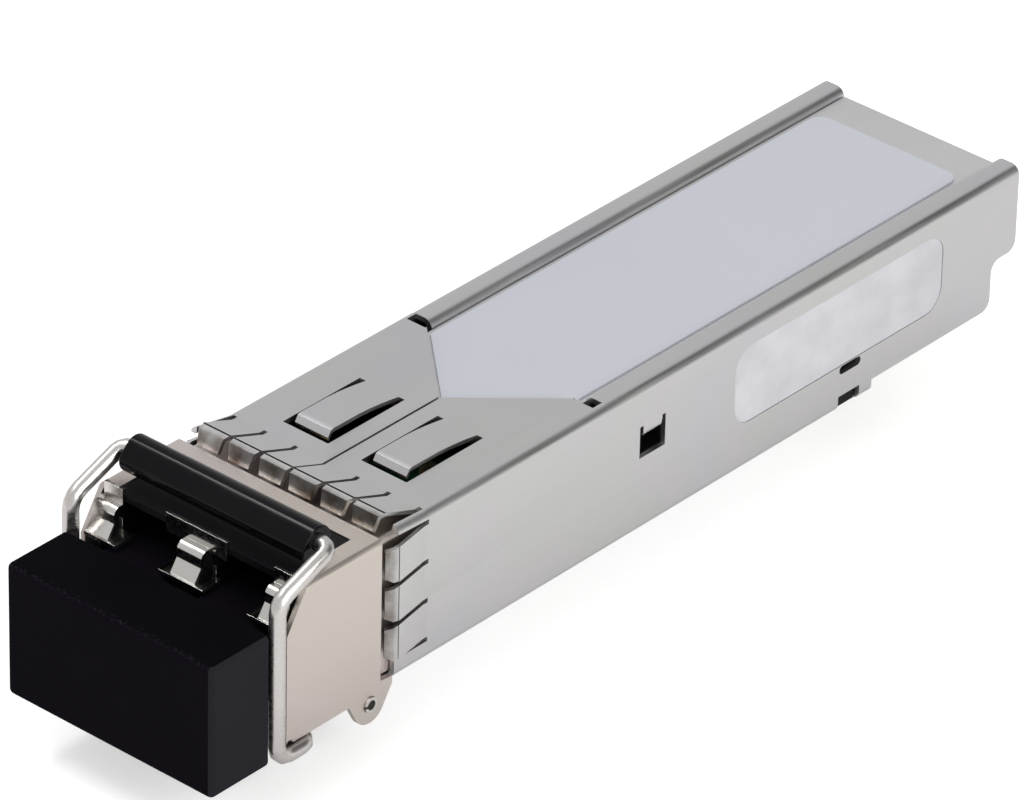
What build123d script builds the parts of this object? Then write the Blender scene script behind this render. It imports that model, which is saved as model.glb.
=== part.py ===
from build123d import *
import os

os.makedirs("parts", exist_ok=True)

# Pluggable optical transceiver with a wire bail and a duplex dust plug. Millimetres.
# X runs across, +Y towards the rear (board edge) end, Z up from the shell's underside.
# Places along the length are distances from the rear end; y_at turns them into Y.

# Shell: folded sheet
BODY_WIDTH = 13.4
BODY_HEIGHT = 8.6
SHEET = 0.3
FOLD_RADIUS = 0.5
SHELL_LENGTH = 45.85
BOTTOM_OPENING = 11.6
REAR_SKIRT_Z = 0.8
REAR_STEP_Z = 3.6
REAR_STEP = 1.95
REAR_STEP_BEND = 0.65
SEAM_GAP = 0.14
APEX_FROM_REAR = 37.7
CHEVRON_SLOPE = 0.93
RAIL_LENGTH = 32.5
RAIL_WIDTH = 1.6
RAIL_BEND = 0.4
RAIL_LIP = 1.2
RAIL_RELIEF = 0.7

# Contact fingers at the shell's front edge
FINGER_LENGTH = 3.05
FINGER_CREST = 2.4
FINGER_ROOT = 0.35
FINGER_TIP = -0.02
FINGER_TAPER = 0.28
FINGER_CREST_FLAT = 0.15
FINGER_SHEET = 0.2
FINGER_SLOT = 0.26
FINGERS_PER_SIDE = 3
TOP_FLARE = 0.8
SIDE_FLARE = 0.36
CORNER_FOLD = 0.55
SIDE_FINGER_START = 1.25
CORNER_LIFT = 7.5
CORNER_SPREAD = 5.0

# Two sprung tongues on the top
TONGUE_X = 2.6
TONGUE_WIDTH = 2.2
TONGUE_SETBACK = 6.85
TONGUE_LENGTH = 5.35
TONGUE_CREST = 3.9
TONGUE_SLOT = 0.28
TONGUE_RISE = 0.36
TONGUE_DIP = 0.16
TONGUE_ROOT_BEND = 0.25
TONGUE_CREST_BEND = 0.9
TONGUE_SHEET = 0.22

# Windows and pocket in the sides
SNAP_FROM_REAR = 29.1
SNAP_LENGTH = 1.95
SNAP_Z = 5.2
SNAP_HEIGHT = 1.6
SNAP_EAR = 0.25
SNAP_TAB_LEAN = 0.7
SNAP_TAB_SHEET = 0.26
VENT_FROM_REAR = 13.45
VENT_LENGTH = 1.7
VENT_Z = 2.47
VENT_HEIGHT = 0.5
NOTCH_HEIGHT = 0.92
POCKET_FRONT = 22.7
POCKET_REAR = 6.1
POCKET_LOW = 2.75
POCKET_HIGH = 7.3
POCKET_CORNER = 1.3
POCKET_DEPTH = 0.12
SIDE_LABEL_SHEET = 0.08
SIDE_LABEL_MARGIN = 0.05

# Inner cover and its label
COVER_DROP = 0.15
COVER_HALF_WIDTH = 5.05
COVER_LENGTH = 38.9
COVER_FLANGE = 0.75
LABEL_SHEET = 0.1
LABEL_HALF_WIDTH = 4.75
LABEL_REAR = 2.5
LABEL_CORNER = 0.8
LABEL_APEX_GAP = 0.25

# Latch position and nose shield
LATCH_SETBACK = 0.85
NOSE_SETBACK = 4.4
NOSE_LENGTH = 6.75
NOSE_WIDTH = 13.7
NOSE_TOP = 8.7
NOSE_BOTTOM = 0.05
NOSE_FOLD = 0.36
NOSE_SHEET = 0.3
JOGGLE = 0.5
FLANGE_LENGTH = 5.4
FLANGE_TOP_LENGTH = 3.6
TOP_STRIP = 1.0
MARGIN_WIDTH = 1.15
CHAMFER_LENGTH = 1.5
CHAMFER_HEIGHT = 2.4
RELIEF_RADIUS = 0.24
LUG_RADIUS = 1.1
LUG_FRONT = 1.5
LUG_REAR = 1.6

# Latch pin, lever and spring
PIN_SETBACK = 5.15
PIN_Z = -0.45
PIN_RADIUS = 0.42
PIN_FIT = 0.04
PIN_STICKOUT = 0.12
PIN_WALL = 0.15
PIN_SLIT = 0.14
LEVER_HALF_WIDTH = 1.5
LEVER_SHEET = 0.35
HUB_RADIUS = 0.78
LEVER_GAP = 0.3
BOSS_LENGTH = 2.6
BOSS_HALF_WIDTH = 1.3
BOSS_DEPTH = 0.45
LEVER_NOSE = 2.4
SPRING_SHEET = 0.12
SPRING_HALF_WIDTH = 0.8
SPRING_LENGTH = 2.2

# Bail wire and sleeve
WIRE_RADIUS = 0.43
LEG_X = 6.85
LEG_GAP = 0.25
LEG_TOP_Z = 8.6
ARM_Z = -0.45
PIVOT_SETBACK = 9.4
PIVOT_FIT = 0.05
PIVOT_INNER_X = 4.7
CROSSBAR_SETBACK = 8.1
CROSSBAR_Z = 10.0
PIVOT_BEND = 0.75
FOOT_BEND = 0.85
SHOULDER_BEND = 1.0
CROSSBAR_BEND = 0.6
BEND_STEPS = 3
SLEEVE_RADIUS = 0.86
SLEEVE_LOBE = 0.45
SLEEVE_HALF_LENGTH = 6.1

# Duplex receptacle
FIT_GAP = 0.05
PORT_PITCH = 6.25
PORT_WIDTH = 4.65
PORT_HEIGHT = 4.65
PORT_Z = 4.1
PORT_BACK = 1.5
KEY_WIDTH = 4.2
KEY_DEPTH = 5.1
KEY_TOP = 8.0
ROOF_SETBACK = 1.25
ROOF_RISE = 0.05
SHELF_Z = 6.45
RIB_X = 5.2
RIB_HALF_WIDTH = 0.8
RIB_HALF_LENGTH = 1.1
RIB_DEPTH = 1.1
TONGUE_PLATE_Z = 1.1
TONGUE_PLATE = 0.35
TONGUE_PLATE_HALF = 1.9

# Earth clip
CLIP_SHEET = 0.2
CLIP_ARM_WIDTH = 1.6
CLIP_ARM_REACH = 1.05
CLIP_BEND = 0.32
LIP_RISE = 0.4
FOOT_WIDTH = 2.9
FOOT_LENGTH = 1.4
FOOT_STICKOUT = 0.2
SIDE_ARM_X = 5.8
SPRING_BAR_LOW = 6.5
SPRING_BAR_HIGH = 7.25
SPRING_BAR_LENGTH = 3.8
SPRING_BAR_NECK = 0.6

# Optical sub-assemblies
BARREL_RADIUS = 1.45
BARREL_REACH = 3.8
FERRULE_RADIUS = 0.63
FERRULE_DEPTH = 4.5
COLLAR_RADIUS = 2.2
COLLAR_LENGTH = 0.8
NECK_RADIUS = 1.75
NECK_LENGTH = 1.9
CAN_RADIUS = 2.2
CAN_LENGTH = 2.4
HEADER_RADIUS = 2.6
HEADER_LENGTH = 0.8
CLAMP_TOP = 7.4
CLAMP_SHEET = 0.8
CLAMP_CLEARANCE = 0.1
FLEX_WIDTH = 3.4
FLEX_SHEET = 0.15
FLEX_GAP = 0.01
FLEX_RISE = 1.7
FLEX_BEND = 0.5
FLEX_PAD = 1.2

# Circuit board
BOARD_INSET = 3.2
BOARD_SETBACK = 5.85
BOARD_THICKNESS = 1.0
BOARD_UNDERSIDE = 2.25
EDGE_WIDTH = 9.2
EDGE_LENGTH = 9.4
CONTACT_COUNT = 10
CONTACT_PITCH = 0.8
CONTACT_WIDTH = 0.6
CONTACT_LENGTH = 3.2
CONTACT_INSET = 0.5
CONTACT_SHEET = 0.04

# Chips on the board, each placed from the board's front edge
DRIVER_SIZE = 3.0
DRIVER_HEIGHT = 0.8
DRIVER_X = 2.4
DRIVER_SETBACK = 6.5
CONTROLLER_SIZE = 5.0
CONTROLLER_HEIGHT = 0.9
CONTROLLER_SETBACK = 19.5
MEMORY_LENGTH = 3.0
MEMORY_WIDTH = 2.6
MEMORY_HEIGHT = 0.7
MEMORY_SETBACK = 18.0
MEMORY_LIFT = 0.1
MEMORY_LEGS = 4
MEMORY_PITCH = 0.65
MEMORY_LEG_WIDTH = 0.25
MEMORY_LEG_SHEET = 0.12
CHIP_CHAMFER = 0.1
CAPACITOR_LENGTH = 0.9
CAPACITOR_WIDTH = 0.5
CAPACITOR_X = 3.9
CAPACITOR_INNER_X = 1.2
CAPACITOR_SETBACK = 3.0

# Board carrier
CARRIER_FLOOR = 0.6
CARRIER_WALL = 1.2
CARRIER_TOP = 6.8
CARRIER_REAR = 9.6
LEDGE_X = 4.1
POST_LENGTH = 2.0
POST_DEPTH = 0.75
POST_SETBACK = 8.0
POST_FROM_OPENING = 2.4
SNAP_CLEARANCE = 0.2

# Dust plug
PLUG_LOW = -0.6
PLUG_HIGH = 7.05
PLUG_LENGTH = 4.05
PLUG_GAP = 0.12
PLUG_EDGE = 0.4
PLUG_FRONT_EDGE = 0.25
PRONG_SIZE = 4.4
PRONG_REACH = 4.6
PRONG_BORE = 1.62

# Places worked out from the sizes above
LATCH_FROM_REAR = SHELL_LENGTH - LATCH_SETBACK
REAR_Y = (LATCH_FROM_REAR + NOSE_SETBACK + NOSE_LENGTH) / 2
HALF_BODY = BODY_WIDTH / 2
TOP_FINGER_PITCH = (HALF_BODY - CORNER_FOLD) / FINGERS_PER_SIDE
SIDE_FINGER_PITCH = (BODY_HEIGHT - CORNER_FOLD - SIDE_FINGER_START) / FINGERS_PER_SIDE
TONGUE_ROOT = SHELL_LENGTH - TONGUE_SETBACK
TONGUE_TIP = TONGUE_ROOT + TONGUE_LENGTH
BOARD_FRONT = SHELL_LENGTH - BOARD_SETBACK
POST_FRONT = BOARD_FRONT - POST_SETBACK
POST_REAR = BOTTOM_OPENING + POST_FROM_OPENING
INNER_HALF = HALF_BODY - SHEET
COVER_TOP = BODY_HEIGHT - SHEET - COVER_DROP
COVER_UNDER = COVER_TOP - SHEET
BOARD_TOP = BOARD_UNDERSIDE + BOARD_THICKNESS
NOSE_REAR = LATCH_FROM_REAR + NOSE_SETBACK
NOSE_FRONT = NOSE_REAR + NOSE_LENGTH
NOSE_INNER = NOSE_WIDTH / 2 - NOSE_SHEET
FLANGE_OUTER = INNER_HALF - FIT_GAP
FLANGE_INNER = FLANGE_OUTER - NOSE_SHEET
FLANGE_REAR = NOSE_REAR - JOGGLE - FLANGE_LENGTH
FLANGE_TOP = BODY_HEIGHT - SHEET - FIT_GAP
PIN_FROM_REAR = LATCH_FROM_REAR + PIN_SETBACK
PIVOT_FROM_REAR = LATCH_FROM_REAR + PIVOT_SETBACK
CROSSBAR_FROM_REAR = LATCH_FROM_REAR + CROSSBAR_SETBACK
LEG_FROM_REAR = NOSE_FRONT + LEG_GAP + WIRE_RADIUS
HOUSING_HALF = NOSE_INNER - FIT_GAP
BACK_WALL = NOSE_REAR + FIT_GAP
PORT_END = BACK_WALL + PORT_BACK
ROOF_FRONT = NOSE_FRONT - ROOF_SETBACK
ROOF_TOP = NOSE_TOP - ROOF_RISE
LEVER_TOP = PIN_Z + HUB_RADIUS - 0.1
COLLAR_FRONT = BACK_WALL - FIT_GAP
NECK_FRONT = COLLAR_FRONT - COLLAR_LENGTH
CAN_FRONT = NECK_FRONT - NECK_LENGTH
HEADER_FRONT = CAN_FRONT - CAN_LENGTH
HEADER_REAR = HEADER_FRONT - HEADER_LENGTH
PLUG_REAR = LEG_FROM_REAR + WIRE_RADIUS + PLUG_GAP
CARRIER_FRONT = FLANGE_REAR - FIT_GAP


def y_at(from_rear):
    """Y of a place given by its distance from the rear end."""
    return REAR_Y - from_rear


def rect(x0, x1, y0, y1):
    """Rectangle between two positions across and two heights of a sketch."""
    return Pos((x0 + x1) / 2, (y0 + y1) / 2) * Rectangle(x1 - x0, y1 - y0)


def along_y(sketch, front, rear):
    """Extrudes an X-Z section between two distances from the rear end."""
    return Pos(0, y_at(rear), 0) * extrude(Plane.XZ * sketch, front - rear)


def along_x(sketch, x0, x1):
    """Extrudes a Y-Z side view between two X."""
    return Pos(x0, 0, 0) * extrude(Plane.YZ * sketch, x1 - x0)


def along_z(sketch, z0, z1):
    """Extrudes a plan view between two heights."""
    return Pos(0, 0, z0) * extrude(sketch, z1 - z0)


def block(x0, x1, front, rear, z0, z1):
    """Block between two X, two distances from the rear end and two heights."""
    return along_y(rect(x0, x1, z0, z1), front, rear)


def outline(points):
    """Closed flat figure through a list of points."""
    return make_face(Polyline(*points, close=True))


def strip(points, thickness, radius):
    """Section of a sheet bent along its middle line of points."""
    return trace(FilletPolyline(*points, radius=radius), thickness)


def round_bar(radius, front, rear, x=0.0, z=0.0):
    """Round bar along the length."""
    return along_y(Pos(x, z) * Circle(radius), front, rear)


def both_sides(part):
    """A piece and its mirror image across the centre plane."""
    return [part, mirror(part, about=Plane.YZ)]


def tube_section(width, low, high, wall, radius):
    """Rounded rectangular tube section, as wide as given between two heights."""
    outer = RectangleRounded(width, high - low, radius)
    inner = RectangleRounded(width - 2 * wall, high - low - 2 * wall, max(radius - wall, 0.05))
    return Pos(0, (low + high) / 2) * (outer - inner)


def rail_section(side):
    """Rolled edge of one side: side wall, hollow roll and inner lip."""
    outer_x = side * (HALF_BODY - SHEET / 2)
    inner_x = side * (HALF_BODY - RAIL_WIDTH + SHEET / 2)
    top = BODY_HEIGHT - SHEET / 2
    points = [
        (outer_x, BODY_HEIGHT / 2),
        (outer_x, top),
        (inner_x, top),
        (inner_x, BODY_HEIGHT - RAIL_LIP),
    ]
    return strip(points, SHEET, RAIL_BEND)


def side_silhouette():
    """Side view of the shell, with its rounded steps at the rear."""
    front = y_at(SHELL_LENGTH)
    step = y_at(REAR_STEP)
    figure = outline([
        (front, 0),
        (y_at(BOTTOM_OPENING), 0),
        (y_at(BOTTOM_OPENING), REAR_SKIRT_Z),
        (step, REAR_SKIRT_Z),
        (step, REAR_STEP_Z),
        (REAR_Y, REAR_STEP_Z),
        (REAR_Y, BODY_HEIGHT),
        (front, BODY_HEIGHT),
    ])
    low = [v for v in figure.vertices() if abs(v.X - step) < 0.01]
    figure = fillet(low, REAR_STEP_BEND)
    high = [v for v in figure.vertices() if abs(v.X - REAR_Y) < 0.01 and v.Y < BODY_HEIGHT - 1]
    return fillet(high, REAR_STEP_BEND)


def chevron(apex, reach, half_width):
    """Plan of the area behind the V-shaped front edge of the recess."""
    side = apex - half_width * CHEVRON_SLOPE
    return outline([
        (0, y_at(apex)),
        (half_width, y_at(side)),
        (half_width, y_at(reach)),
        (-half_width, y_at(reach)),
        (-half_width, y_at(side)),
    ])


def finger(width, flare):
    """One finger along -Y: ramps outwards to a crest, then curls in to a tapered tip."""
    middle = FINGER_SHEET / 2
    points = [
        (0, -middle),
        (FINGER_ROOT, -middle),
        (FINGER_CREST - FINGER_CREST_FLAT, flare - middle),
        (FINGER_CREST + FINGER_CREST_FLAT, flare - middle - FINGER_CREST_FLAT / 3),
        (FINGER_LENGTH, FINGER_TIP - middle),
    ]
    section = trace(Polyline(*points), FINGER_SHEET)
    blade = Pos(0, width / 2, 0) * extrude(Plane.XZ * section, width)
    plan = outline([
        (0, -width / 2),
        (FINGER_CREST, -width / 2),
        (FINGER_LENGTH + FINGER_TAPER, FINGER_TAPER - width / 2),
        (FINGER_LENGTH + FINGER_TAPER, width / 2 - FINGER_TAPER),
        (FINGER_CREST, width / 2),
        (0, width / 2),
    ])
    return Rot(0, 0, -90) * (blade & along_z(plan, -1, 1 + flare))


def contact_fingers():
    """All sprung fingers round the front edge, apart from the folded corners."""
    front = y_at(SHELL_LENGTH)
    pieces = []
    for index in range(FINGERS_PER_SIDE):
        inner = index * TOP_FINGER_PITCH + (FINGER_SLOT / 2 if index else SEAM_GAP / 2)
        outer = (index + 1) * TOP_FINGER_PITCH - FINGER_SLOT / 2
        middle = (inner + outer) / 2
        pieces += both_sides(Pos(middle, front, BODY_HEIGHT) * finger(outer - inner, TOP_FLARE))
        if index:
            under = Pos(middle, front, 0) * Rot(0, 180, 0)
            pieces += both_sides(under * finger(outer - inner, SIDE_FLARE))
        z = SIDE_FINGER_START + (index + 0.5) * SIDE_FINGER_PITCH
        blade = finger(SIDE_FINGER_PITCH - FINGER_SLOT, SIDE_FLARE)
        pieces += both_sides(Pos(HALF_BODY, front, z) * Rot(0, 90, 0) * blade)
    return pieces


def corner_folds():
    """Folded corners of the shell carried on between the fingers, the upper ones flared."""
    ring = tube_section(BODY_WIDTH, 0, BODY_HEIGHT, SHEET, FOLD_RADIUS)
    edge = HALF_BODY - CORNER_FOLD + FINGER_SLOT / 2
    high = BODY_HEIGHT - CORNER_FOLD + FINGER_SLOT / 2
    low = SIDE_FINGER_START - FINGER_SLOT / 2
    upper = along_y(ring & rect(edge, HALF_BODY + 1, high, BODY_HEIGHT + 1),
                    SHELL_LENGTH + FINGER_CREST, SHELL_LENGTH - FINGER_ROOT)
    root = Pos(HALF_BODY, y_at(SHELL_LENGTH), BODY_HEIGHT)
    upper = root * Rot(-CORNER_LIFT, 0, CORNER_SPREAD) * root.inverse() * upper
    lower = along_y(ring & rect(edge, HALF_BODY + 1, -1, low), SHELL_LENGTH + FINGER_CREST, SHELL_LENGTH)
    return both_sides(upper) + both_sides(lower)


def tongue(x):
    """Sprung tongue of the top: rises from its root to a crest, then dips at its tip."""
    middle = BODY_HEIGHT - TONGUE_SHEET / 2
    points = [
        (y_at(TONGUE_ROOT) + TONGUE_SLOT, middle),
        (y_at(TONGUE_ROOT), middle),
        (y_at(TONGUE_ROOT + TONGUE_CREST), middle + TONGUE_RISE),
        (y_at(TONGUE_TIP), middle - TONGUE_DIP),
    ]
    section = strip(points, TONGUE_SHEET, [TONGUE_ROOT_BEND, TONGUE_CREST_BEND])
    return along_x(section, x - TONGUE_WIDTH / 2, x + TONGUE_WIDTH / 2)


def snap_window():
    """Right-hand square window with relief ears at its upper corners."""
    front = SNAP_FROM_REAR + SNAP_LENGTH / 2
    rear = SNAP_FROM_REAR - SNAP_LENGTH / 2
    low = SNAP_Z - SNAP_HEIGHT / 2
    high = SNAP_Z + SNAP_HEIGHT / 2
    figure = rect(y_at(front), y_at(rear), low, high)
    figure += rect(y_at(front), y_at(front) + SNAP_EAR, high, high + SNAP_EAR)
    figure += rect(y_at(rear) - SNAP_EAR, y_at(rear), high, high + SNAP_EAR)
    return along_x(figure, INNER_HALF - 0.1, HALF_BODY + 0.1)


def snap_tab():
    """Right-hand tab that hangs from the window's top edge and leans inwards."""
    width = SNAP_LENGTH - 2 * SNAP_EAR - FIT_GAP
    high = SNAP_Z + SNAP_HEIGHT / 2
    middle = HALF_BODY - SHEET / 2
    points = [
        (middle, high + SNAP_EAR),
        (middle, high - SNAP_EAR),
        (middle - SNAP_TAB_LEAN, SNAP_Z),
    ]
    tab = strip(points, SNAP_TAB_SHEET, SNAP_TAB_SHEET)
    return along_y(tab, SNAP_FROM_REAR + width / 2, SNAP_FROM_REAR - width / 2)


def side_cuts():
    """Right-hand window, vent slot, bottom notch and label pocket."""
    vent = Pos(y_at(VENT_FROM_REAR), VENT_Z) * SlotOverall(VENT_LENGTH, VENT_HEIGHT)
    notch_front = y_at(VENT_FROM_REAR + VENT_LENGTH / 2)
    notch_rear = y_at(VENT_FROM_REAR - VENT_LENGTH / 2)
    notch = rect(notch_front, notch_rear, -0.1, NOTCH_HEIGHT)
    openings = along_x(vent + notch, INNER_HALF - 0.6, HALF_BODY + 0.1)
    pocket = Pos(y_at((POCKET_FRONT + POCKET_REAR) / 2), (POCKET_LOW + POCKET_HIGH) / 2)
    pocket *= RectangleRounded(POCKET_FRONT - POCKET_REAR, POCKET_HIGH - POCKET_LOW, POCKET_CORNER)
    recess = along_x(pocket, HALF_BODY - POCKET_DEPTH, HALF_BODY + 0.1)
    return [snap_window(), openings, recess]


def top_cuts():
    """Recess behind the chevron, seam, rail reliefs and the slots round the tongues."""
    under = BODY_HEIGHT - SHEET - 0.1
    above = BODY_HEIGHT + 1
    cuts = [along_z(chevron(APEX_FROM_REAR, 0, COVER_HALF_WIDTH), COVER_TOP, above)]
    seam_end = APEX_FROM_REAR - SEAM_GAP
    cuts.append(block(-SEAM_GAP / 2, SEAM_GAP / 2, SHELL_LENGTH + 1, seam_end, under, above))
    relief = block(COVER_HALF_WIDTH - 0.1, HALF_BODY - FOLD_RADIUS, RAIL_LENGTH + RAIL_RELIEF, RAIL_LENGTH,
                   under, above)
    cuts += both_sides(relief)
    half = TONGUE_WIDTH / 2 + TONGUE_SLOT
    slot = block(TONGUE_X - half, TONGUE_X + half, TONGUE_TIP + TONGUE_SLOT, TONGUE_ROOT, under, above)
    return cuts + both_sides(slot)


def outer_shell():
    """Folded shell: tube in front, rolled rails and open bottom at the rear."""
    ring = tube_section(BODY_WIDTH, 0, BODY_HEIGHT, SHEET, FOLD_RADIUS)
    lower = ring & rect(-HALF_BODY - 1, HALF_BODY + 1, -1, BODY_HEIGHT / 2)
    rear = lower + rail_section(-1) + rail_section(1)
    shell = along_y(ring, SHELL_LENGTH, RAIL_LENGTH)
    for cut in top_cuts():
        shell -= cut
    shell += along_y(rear, RAIL_LENGTH, 0)
    shell &= along_x(side_silhouette(), -HALF_BODY - 1, HALF_BODY + 1)
    latch_slot = LEVER_HALF_WIDTH + LEVER_GAP
    shell -= block(-latch_slot, latch_slot, SHELL_LENGTH + 1, LATCH_FROM_REAR - BOSS_LENGTH - LEVER_GAP,
                   -1, SHEET + 0.1)
    for cut in side_cuts():
        for piece in both_sides(cut):
            shell -= piece
    added = both_sides(snap_tab()) + both_sides(tongue(TONGUE_X)) + contact_fingers() + corner_folds()
    for piece in added:
        shell += piece
    return shell


def inner_cover():
    """Flat cover below the label, with turned-down flanges between the posts."""
    plan = rect(-COVER_HALF_WIDTH, COVER_HALF_WIDTH, y_at(COVER_LENGTH), y_at(0.05))
    cover = along_z(plan, COVER_UNDER, COVER_TOP)
    gap = POST_LENGTH / 2 + COVER_FLANGE
    for front, rear in ((COVER_LENGTH - 1, POST_FRONT + gap), (POST_FRONT - gap, POST_REAR + gap)):
        flange = block(COVER_HALF_WIDTH - SHEET, COVER_HALF_WIDTH, front, rear,
                       COVER_UNDER - COVER_FLANGE, COVER_UNDER)
        for piece in both_sides(flange):
            cover += piece
    return cover


def top_label():
    """Thin bare label on the inner cover, pointed at its front like the recess."""
    plan = chevron(APEX_FROM_REAR - LABEL_APEX_GAP, LABEL_REAR, LABEL_HALF_WIDTH)
    rear = [v for v in plan.vertices() if abs(v.Y - y_at(LABEL_REAR)) < 0.01]
    plan = fillet(rear, LABEL_CORNER)
    return along_z(plan, COVER_TOP, COVER_TOP + LABEL_SHEET)


def side_label():
    """Thin bare labels in the pockets of both sides."""
    length = POCKET_FRONT - POCKET_REAR - 2 * SIDE_LABEL_MARGIN
    height = POCKET_HIGH - POCKET_LOW - 2 * SIDE_LABEL_MARGIN
    place = Pos(y_at((POCKET_FRONT + POCKET_REAR) / 2), (POCKET_LOW + POCKET_HIGH) / 2)
    plan = place * RectangleRounded(length, height, POCKET_CORNER - SIDE_LABEL_MARGIN)
    floor = HALF_BODY - POCKET_DEPTH
    return both_sides(along_x(plan, floor, floor + SIDE_LABEL_SHEET))


def lug_figure():
    """Side view of a latch pin lug, growing out of the panel's lower edge."""
    centre = y_at(PIN_FROM_REAR)
    arc = Pos(centre, PIN_Z) * Circle(LUG_RADIUS)
    root = rect(centre - LUG_FRONT, centre + LUG_REAR, NOSE_BOTTOM, NOSE_BOTTOM + 0.4)
    return make_hull((arc + root).edges()) - Pos(centre, PIN_Z) * Circle(PIN_RADIUS + PIN_FIT / 2)


def nose_panel_figure():
    """Side view of the nose shield's side panels."""
    front = y_at(NOSE_FRONT)
    rear = y_at(NOSE_REAR)
    figure = outline([
        (front, NOSE_BOTTOM),
        (rear, NOSE_BOTTOM),
        (rear, NOSE_TOP + 0.1),
        (front + CHAMFER_LENGTH, NOSE_TOP + 0.1),
        (front + CHAMFER_LENGTH, NOSE_TOP),
        (front, NOSE_TOP - CHAMFER_HEIGHT),
    ])
    return figure - Pos(front + RELIEF_RADIUS, NOSE_BOTTOM) * Circle(RELIEF_RADIUS)


def nose_shield():
    """Nose shield: two panels, top strip, stepped flange and two lugs."""
    high = (NOSE_TOP - NOSE_BOTTOM) / 2
    ring = tube_section(NOSE_WIDTH, NOSE_BOTTOM - 2, NOSE_TOP, NOSE_SHEET, NOSE_FOLD)
    ring = ring & rect(-NOSE_WIDTH, NOSE_WIDTH, NOSE_BOTTOM - 1, NOSE_TOP + high)
    shield = along_y(ring, NOSE_FRONT, NOSE_REAR)
    shield &= along_x(nose_panel_figure(), -NOSE_WIDTH, NOSE_WIDTH)
    opening = NOSE_WIDTH / 2 - MARGIN_WIDTH
    shield -= block(-opening, opening, NOSE_FRONT + 1, NOSE_REAR + TOP_STRIP, NOSE_TOP - 1, NOSE_TOP + 1)
    shield += nose_step()
    flange_width = 2 * FLANGE_OUTER
    flange = tube_section(flange_width, -2, FLANGE_TOP, NOSE_SHEET, NOSE_FOLD)
    flange = flange & rect(-NOSE_WIDTH, NOSE_WIDTH, SHEET + 3 * FIT_GAP, NOSE_TOP)
    shield += along_y(flange, NOSE_REAR - JOGGLE, FLANGE_REAR)
    shield -= block(-FLANGE_OUTER + 1, FLANGE_OUTER - 1, NOSE_REAR - JOGGLE - FLANGE_TOP_LENGTH,
                    FLANGE_REAR - 1, BODY_HEIGHT / 2, NOSE_TOP)
    lug = along_x(lug_figure(), NOSE_INNER, NOSE_WIDTH / 2)
    for piece in both_sides(lug):
        shield += piece
    return shield


def nose_step():
    """Ramped step between the wide nose and the narrower flange inside the shell."""
    def ramp(inset):
        big = Pos(0, (NOSE_TOP - 2) / 2) * RectangleRounded(
            NOSE_WIDTH - 2 * inset, NOSE_TOP + 2 - 2 * inset, NOSE_FOLD - inset)
        small = Pos(0, (FLANGE_TOP - 2) / 2) * RectangleRounded(
            2 * FLANGE_OUTER - 2 * inset, FLANGE_TOP + 2 - 2 * inset, NOSE_FOLD - inset)
        front = Pos(0, y_at(NOSE_REAR), 0) * (Plane.XZ * big)
        rear = Pos(0, y_at(NOSE_REAR - JOGGLE), 0) * (Plane.XZ * small)
        return loft([front, rear], ruled=True)
    step = ramp(0) - ramp(NOSE_SHEET)
    return step & block(-NOSE_WIDTH, NOSE_WIDTH, NOSE_REAR, NOSE_REAR - JOGGLE, SHEET + FIT_GAP,
                        NOSE_TOP + 1)


def receptacle():
    """Moulded duplex housing: two ports, key channels, roof, back wall and pivot ribs."""
    body_top = NOSE_TOP - NOSE_SHEET - FIT_GAP
    side_view = outline([
        (y_at(NOSE_FRONT), NOSE_BOTTOM + FIT_GAP),
        (y_at(BACK_WALL), NOSE_BOTTOM + FIT_GAP),
        (y_at(BACK_WALL), body_top),
        (y_at(ROOF_FRONT), body_top),
        (y_at(ROOF_FRONT), SHELF_Z),
        (y_at(NOSE_FRONT), SHELF_Z),
    ])
    housing = along_x(side_view, -HOUSING_HALF, HOUSING_HALF)
    roof_half = NOSE_WIDTH / 2 - MARGIN_WIDTH - FIT_GAP
    housing += block(-roof_half, roof_half, ROOF_FRONT, NOSE_REAR + TOP_STRIP + FIT_GAP, body_top, ROOF_TOP)
    for x in (-PORT_PITCH / 2, PORT_PITCH / 2):
        low = PORT_Z - PORT_HEIGHT / 2
        housing -= block(x - PORT_WIDTH / 2, x + PORT_WIDTH / 2, NOSE_FRONT + 1, PORT_END,
                         low, low + PORT_HEIGHT)
        housing -= block(x - KEY_WIDTH / 2, x + KEY_WIDTH / 2, NOSE_FRONT + 1, NOSE_FRONT - KEY_DEPTH,
                         PORT_Z, KEY_TOP)
        housing -= round_bar(BARREL_RADIUS + FIT_GAP, PORT_END + 1, BACK_WALL - 1, x, PORT_Z)
    plate = CLIP_SHEET + FIT_GAP
    housing -= block(-HOUSING_HALF, HOUSING_HALF, ROOF_FRONT + 1, NOSE_FRONT - KEY_DEPTH,
                     KEY_TOP - FIT_GAP, KEY_TOP + plate)
    housing -= bar_slots()
    pocket = LEVER_HALF_WIDTH + 0.3
    housing -= block(-pocket, pocket, PIN_FROM_REAR + LEVER_NOSE + 0.4, BACK_WALL - 1, -1, 0.85)
    housing += block(-TONGUE_PLATE_HALF, TONGUE_PLATE_HALF, BACK_WALL + 0.1,
                     LATCH_FROM_REAR - BOSS_LENGTH, TONGUE_PLATE_Z, TONGUE_PLATE_Z + TONGUE_PLATE)
    for piece in both_sides(pivot_rib()):
        housing += piece
    return housing


def bar_slots():
    """Slots beside the key channels that take the earth clip's spring bars."""
    slots = []
    for x in spring_bar_places():
        rear = ROOF_FRONT - SPRING_BAR_LENGTH - FIT_GAP
        slots.append(block(x - CLIP_SHEET - FIT_GAP, x + FIT_GAP, NOSE_FRONT, rear,
                           SPRING_BAR_LOW - FIT_GAP, KEY_TOP + FIT_GAP))
    return slots[0] + slots[1]


def spring_bar_places():
    """X of the right-hand faces of the two spring bars, one beside each key channel."""
    return [x - KEY_WIDTH / 2 for x in (-PORT_PITCH / 2, PORT_PITCH / 2)]


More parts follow.
